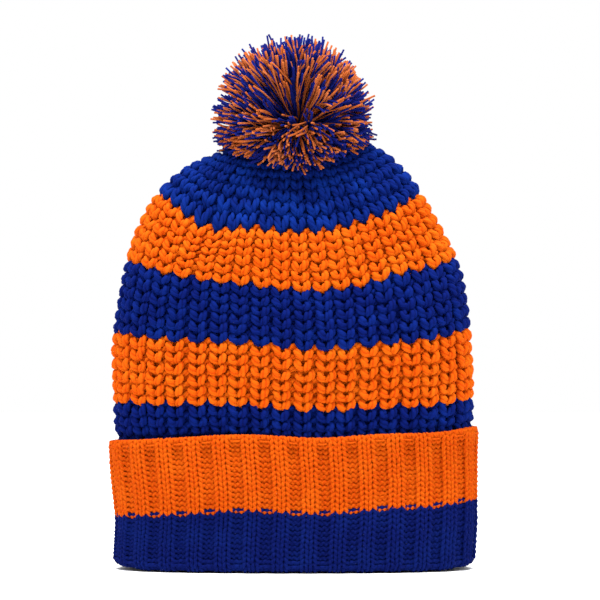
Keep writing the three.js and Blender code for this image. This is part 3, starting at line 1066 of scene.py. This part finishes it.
def above_crown(directions):
    """Lifts the strands that would go into the crown until they lie on it."""
    flat = np.hypot(directions[:, 0], directions[:, 1])
    elevation = np.degrees(np.arctan2(directions[:, 2], flat))
    facing = np.abs(directions[:, 1]) / np.maximum(flat, 1e-6)
    lowest = -crown_slope(facing)
    lifted = lowest + rng.uniform(0, LIFTED_DEG, len(elevation))
    angle = np.radians(np.where(elevation < lowest, lifted, elevation))
    ratio = np.cos(angle) / np.maximum(flat, 1e-6)
    moved = np.stack([directions[:, 0] * ratio, directions[:, 1] * ratio, np.sin(angle)], axis=1)
    return moved, elevation > LOST_BELOW_DEG


def beside_parting(directions):
    """True where a lock is left, outside the parting at the front where the tie shows."""
    middle = unit(np.array(PARTING_WAY))
    angle = np.degrees(np.arccos(np.clip(directions @ middle, -1, 1)))
    chance = np.clip((angle - PARTING_DEG) / PARTING_FADE_DEG, 0, 1)
    low = (directions[:, 2] < -LOW_LOCKS) & (rng.uniform(0, 1, len(directions)) < LOW_LOCKS_KEPT)
    return (rng.uniform(0, 1, len(directions)) < chance) | low


def pom_strands():
    """Paths of all the strands in mm, which of them are orange, and the way each points."""
    locks = unit(even_directions(LOCKS) + rng.normal(0, LOCK_SCATTER, (LOCKS, 3)))
    locks, keep = above_crown(locks)
    locks = locks[keep & beside_parting(locks)]
    orange_lock = rng.uniform(0, 1, len(locks)) < ORANGE_SHARE
    lock_bend = rng.normal(0, 1, (len(locks), 3)) * LOCK_BEND_MM
    lock = np.repeat(np.arange(len(locks)), STRANDS_IN_LOCK)
    toward = unit(locks[lock] + rng.normal(0, STRAND_SCATTER, (len(lock), 3)))
    stray = rng.uniform(0, 1, len(lock)) < STRAY_SHARE
    orange = orange_lock[lock] ^ stray

    cut_short = rng.uniform(0, 1, len(locks)) < SHORT_LOCKS
    trim = np.where(cut_short, rng.uniform(*SHORT_LENGTHS, len(locks)), 1.0)[lock]
    flattened = 1 - FLAT_SIDE * np.maximum(toward @ unit(np.array(FLAT_SIDE_WAY)), 0)
    radius = (POM_RADIUS_MM + rng.normal(*TRIM_MM, len(lock))) * flattened * trim
    offset = TIE_MM - POM_MIDDLE_MM
    inward = (toward * offset).sum(1)
    length = -inward + np.sqrt(np.maximum(inward**2 - offset @ offset + radius**2, 1))

    t = np.linspace(0, 1, STRAND_POINTS)[None, :, None]
    root = TIE_MM + toward * ROOT_MM + rng.normal(0, ROOT_SCATTER_MM, toward.shape)
    line = root[:, None] + toward[:, None] * (length[:, None, None] - ROOT_MM) * t
    own_bend = rng.normal(0, 1, (len(lock), 1, 3)) * STRAND_BEND_MM
    bend = (lock_bend[lock][:, None] + own_bend) * (t * t - t) * BEND_SHAPE
    wave = rng.normal(0, WAVE_MM, (len(lock), 1, 3)) * np.sin(t * math.pi * 3)
    droop = np.array([0, 0, -DROOP_MM]) * t**2 * (1 - np.abs(toward[:, None, 2:]))
    return line + bend + wave + droop, orange, toward


# Strands are parted by how far above the crown they point, in degrees, because the lower ones are held by
# # it and the higher ones lean with the tie. Each ring: its name, where it starts, and the two bodies listed
# for
# # it; only the crest is put on a body, its first, and the other rings on none.
POM_RINGS = [
    ("fringe", -180.0, "hat", "tie_knot"),
    ("skirt", -1.0, "tie_knot", "tie_neck"),
    ("side", 22.0, "tie_neck", "pom"),
    ("crest", 50.0, "pom", None),
]


def degrees_above_crown(toward):
    """How far each strand points above the highest crown that it can meet as the pom turns."""
    slope = np.degrees(np.arcsin(toward[:, 2]))
    from_side = np.abs(np.arctan2(toward[:, 1], np.abs(toward[:, 0])))
    turned_back = np.maximum(from_side - math.pi / 4, 0)
    return slope + crown_slope(np.sin(turned_back))


def make_pom():
    """The cut strands, in rings by how far they point above the crown, each in its two colours. Only the
    crest is put on a body, the pom.
    """
    paths, orange, toward = pom_strands()
    above = degrees_above_crown(toward)
    lock_nodes = [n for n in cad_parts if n.startswith("pom_lock")]
    radius = np.linspace(*STRAND_TAPER, STRAND_POINTS)[None] * STRAND_MM
    ends = [start for _, start, _, _ in POM_RINGS[1:]] + [180.0]
    for (ring, start, low_body, high_body), end in zip(POM_RINGS, ends):
        in_ring = (above >= start) & (above < end)
        for colour, chosen in (("orange", orange), ("blue", ~orange)):
            skein = Skein()
            skein.wind(paths[in_ring & chosen], radius, STRAND_SIDES, False)
            piece = skein.piece(f"pom_{ring}_{colour}", YARN[f"pom_{colour}"])
            if ring == "fringe":
                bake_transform(piece)
            elif ring == "crest":
                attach(piece, low_body)
            else:
                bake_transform(piece)
            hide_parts(*[n for n in lock_nodes if n.endswith(colour)])


# ---------------------------------------------------------------- stage, light and camera
SCENE_WIDTH = 0.363  # what the picture takes in at the hat
CAMERA_DISTANCE = 2.2
CAMERA_ACROSS = 0.0036
CAMERA_HEIGHT = 0.1624
SENSOR_MM = 36.0
FLOOR_REACH = 3.0
LIT_POINT = (0, 0, 0.17)
LAMP_SIZE = 0.7


def make_stage():
    floor_mesh = bpy.data.meshes.new("floor")
    size = FLOOR_REACH
    floor_mesh.from_pydata(
        [(-size, -size, 0), (size, -size, 0), (size, size, 0), (-size, size, 0)], [], [(0, 1, 2, 3)]
    )
    floor_mesh.materials.append(painted_board())
    add_object("floor", floor_mesh)


def soft_lamp(name, place, power):
    light = bpy.data.lights.new(name, "AREA")
    light.shape = "DISK"
    light.size = LAMP_SIZE
    light.energy = power
    lamp = add_object(name, light)
    lamp.location = place
    lamp.rotation_euler = (Vector(LIT_POINT) - Vector(place)).to_track_quat("-Z", "Y").to_euler()


def make_light():
    """Even white light all round, and two soft lamps above the front."""
    bpy.context.scene.view_settings.view_transform = "Standard"
    world = bpy.data.worlds.new("studio")
    bpy.context.scene.world = world
    world.use_nodes = True
    world.node_tree.nodes["Background"].inputs["Color"].default_value = (1, 1, 1, 1)
    world.node_tree.nodes["Background"].inputs["Strength"].default_value = 1.0
    soft_lamp("key_left", (-0.5, -0.5, 2.1), 56)
    soft_lamp("key_right", (0.5, -0.5, 2.1), 52)


def make_camera():
    camera = bpy.data.cameras.new("camera")
    camera.sensor_width = SENSOR_MM
    camera.lens = SENSOR_MM * CAMERA_DISTANCE / SCENE_WIDTH
    seen_from = add_object("camera", camera)
    seen_from.location = (CAMERA_ACROSS, -CAMERA_DISTANCE, CAMERA_HEIGHT)
    seen_from.rotation_euler = (math.pi / 2, 0, 0)
    bpy.context.scene.camera = seen_from


make_light()
make_camera()
make_stage()
body = body_surface()
band = band_surface()
knit_body(body)
knit_band(band)
make_grounds(body, band)
make_body_seam(body)
make_band_seam(band)
make_linking(band)
make_gather()
make_knot()
make_neck()
make_binding()
make_core()
make_pom()
